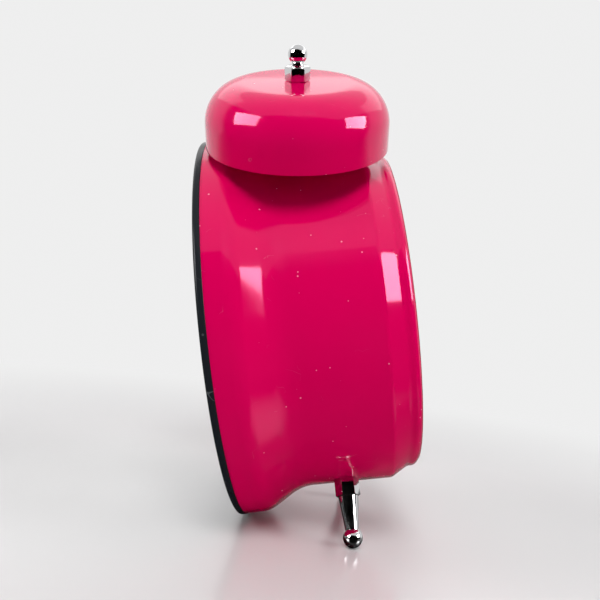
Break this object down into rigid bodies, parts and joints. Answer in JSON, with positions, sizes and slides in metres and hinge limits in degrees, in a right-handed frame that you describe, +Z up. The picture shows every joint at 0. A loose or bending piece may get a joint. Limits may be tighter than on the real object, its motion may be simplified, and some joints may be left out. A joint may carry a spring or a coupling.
{
  "type": "twin-bell alarm clock",
  "caption": "Round desk alarm clock with a flared painted case, two domed bells with ball finials, a hammer between them, taper feet and a recessed back with setting knobs.",
  "frame": {"origin": "centre of the standing clock on the surface below it", "axes": "+Z up, the dial faces -Y and leans forward, +X to the right of the dial"},
  "size_m": [0.116, 0.0762, 0.1349],
  "materials": {
    "pink_paint": "gloss",
    "black_gloss": "gloss",
    "clear_lens": "clear",
    "white_dial": "satin",
    "black_print": "satin",
    "red_print": "satin",
    "chrome": "polished",
    "pink_sleeve": "gloss",
    "zinc_steel": "zinc plated",
    "black_plastic": "satin",
    "white_nylon": "satin",
    "copper": "enamelled wire",
    "board_green": "satin",
    "cell_wrap": "gloss"
  },
  "bodies": {
    "clock": {"bezel_ring": "black_gloss", "dial_lens": "clear_lens", "rehaut_ring": "white_dial", "dial_plate": "white_dial", "hour_markers": "black_print", "case_shell": "pink_paint", "bell_left": "pink_paint", "bell_right": "pink_paint", "bell_spacers": "pink_sleeve", "bell_studs": "chrome", "bell_finials": "chrome", "bell_nuts": "zinc_steel", "foot_left": "chrome", "foot_right": "chrome", "foot_nuts": "zinc_steel", "movement_front": "black_plastic", "movement_back": "black_plastic", "stator": "zinc_steel", "coil": "copper", "circuit_board": "board_green", "rear_cover": "black_plastic", "rear_posts": "black_plastic", "cover_screws": "zinc_steel", "battery_box": "black_plastic", "cell_upper": "cell_wrap", "cell_lower": "cell_wrap", "cell_contacts": "zinc_steel", "cell_springs": "zinc_steel", "alarm_bracket": "zinc_steel", "alarm_motor": "zinc_steel", "hammer_pin": "zinc_steel"},
    "minute": {"minute_hand": "black_print", "minute_arbor": "white_nylon"},
    "hour": {"hour_hand": "black_print", "hour_wheel": "white_nylon"},
    "minute_wheel": {"minute_wheel": "white_nylon"},
    "time_setting": {"time_knob": "black_plastic", "time_stem": "white_nylon"},
    "alarm": {"alarm_hand": "red_print", "alarm_wheel": "white_nylon"},
    "alarm_setting": {"alarm_knob": "black_plastic", "alarm_stem": "white_nylon"},
    "second": {"second_hand": "black_print", "second_wheel": "white_nylon"},
    "centre_wheel": {"centre_wheel": "white_nylon"},
    "third_wheel": {"third_wheel": "white_nylon"},
    "intermediate_wheel": {"intermediate_wheel": "white_nylon"},
    "rotor": {"rotor": "white_nylon"},
    "cam": {"motor_cam": "white_nylon"},
    "hammer": {"hammer_arm": "chrome", "hammer_head": "chrome"},
    "alarm_switch": {"alarm_switch": "black_plastic"},
    "battery_door": {"battery_door": "black_plastic"}
  },
  "joints": [
    {"name": "minute_turn", "type": "hinge", "parent": "clock", "child": "minute", "pos_m": [0, -0.00588, 0.06083], "axis": [0, 0.9751, 0.2218], "continuous": true},
    {"name": "hour_turn", "type": "hinge", "parent": "clock", "child": "hour", "pos_m": [0, -0.00588, 0.06083], "axis": [0, 0.9751, 0.2218], "continuous": true},
    {"name": "minute_wheel_turn", "type": "hinge", "parent": "clock", "child": "minute_wheel", "pos_m": [0.01, -0.00588, 0.06083], "axis": [0, 0.9751, 0.2218], "continuous": true},
    {"name": "time_knob_turn", "type": "hinge", "parent": "clock", "child": "time_setting", "pos_m": [0.01709, -0.00745, 0.06774], "axis": [0, 0.9751, 0.2218], "continuous": true},
    {"name": "alarm_turn", "type": "hinge", "parent": "clock", "child": "alarm", "pos_m": [0, -0.00588, 0.06083], "axis": [0, 0.9751, 0.2218], "continuous": true},
    {"name": "alarm_knob_turn", "type": "hinge", "parent": "clock", "child": "alarm_setting", "pos_m": [-0.01709, -0.00745, 0.06774], "axis": [0, 0.9751, 0.2218], "continuous": true},
    {"name": "second_turn", "type": "hinge", "parent": "clock", "child": "second", "pos_m": [0, -0.00588, 0.06083], "axis": [0, 0.9751, 0.2218], "continuous": true},
    {"name": "centre_wheel_turn", "type": "hinge", "parent": "clock", "child": "centre_wheel", "pos_m": [0, -0.00588, 0.06083], "axis": [0, 0.9751, 0.2218], "continuous": true},
    {"name": "third_wheel_turn", "type": "hinge", "parent": "clock", "child": "third_wheel", "pos_m": [0, -0.00377, 0.05155], "axis": [0, 0.9751, 0.2218], "continuous": true},
    {"name": "intermediate_turn", "type": "hinge", "parent": "clock", "child": "intermediate_wheel", "pos_m": [-0.0036, -0.00726, 0.06691], "axis": [0, 0.9751, 0.2218], "continuous": true},
    {"name": "rotor_turn", "type": "hinge", "parent": "clock", "child": "rotor", "pos_m": [-0.0099, -0.00726, 0.06691], "axis": [0, 0.9751, 0.2218], "continuous": true},
    {"name": "cam_turn", "type": "hinge", "parent": "clock", "child": "cam", "pos_m": [0, -0.00309, 0.08916], "axis": [0, 0.9751, 0.2218], "continuous": true},
    {"name": "hammer_swing", "type": "hinge", "parent": "clock", "child": "hammer", "pos_m": [0, -0.00598, 0.10183], "axis": [0, 0.9751, 0.2218], "range_deg": [-5.5, 5.5]},
    {"name": "alarm_switch_slide", "type": "slide", "parent": "clock", "child": "alarm_switch", "axis": [1, 0, 0], "range_m": [-0.0025, 0.0025]},
    {"name": "battery_door_hinge", "type": "hinge", "parent": "clock", "child": "battery_door", "pos_m": [0, 0.0258, 0.03384], "axis": [-1, 0, 0], "range_deg": [0, 95]}
  ],
  "couplings": [
    {"joint": "minute_wheel_turn", "follows": "minute_turn", "ratio": -0.33333},
    {"joint": "hour_turn", "follows": "minute_turn", "ratio": 0.083333},
    {"joint": "time_knob_turn", "follows": "minute_turn", "ratio": 1},
    {"joint": "alarm_knob_turn", "follows": "alarm_turn", "ratio": -6.4},
    {"joint": "third_wheel_turn", "follows": "second_turn", "ratio": -0.125},
    {"joint": "centre_wheel_turn", "follows": "second_turn", "ratio": 0.016667},
    {"joint": "intermediate_turn", "follows": "second_turn", "ratio": -5},
    {"joint": "rotor_turn", "follows": "second_turn", "ratio": 30}
  ]
}
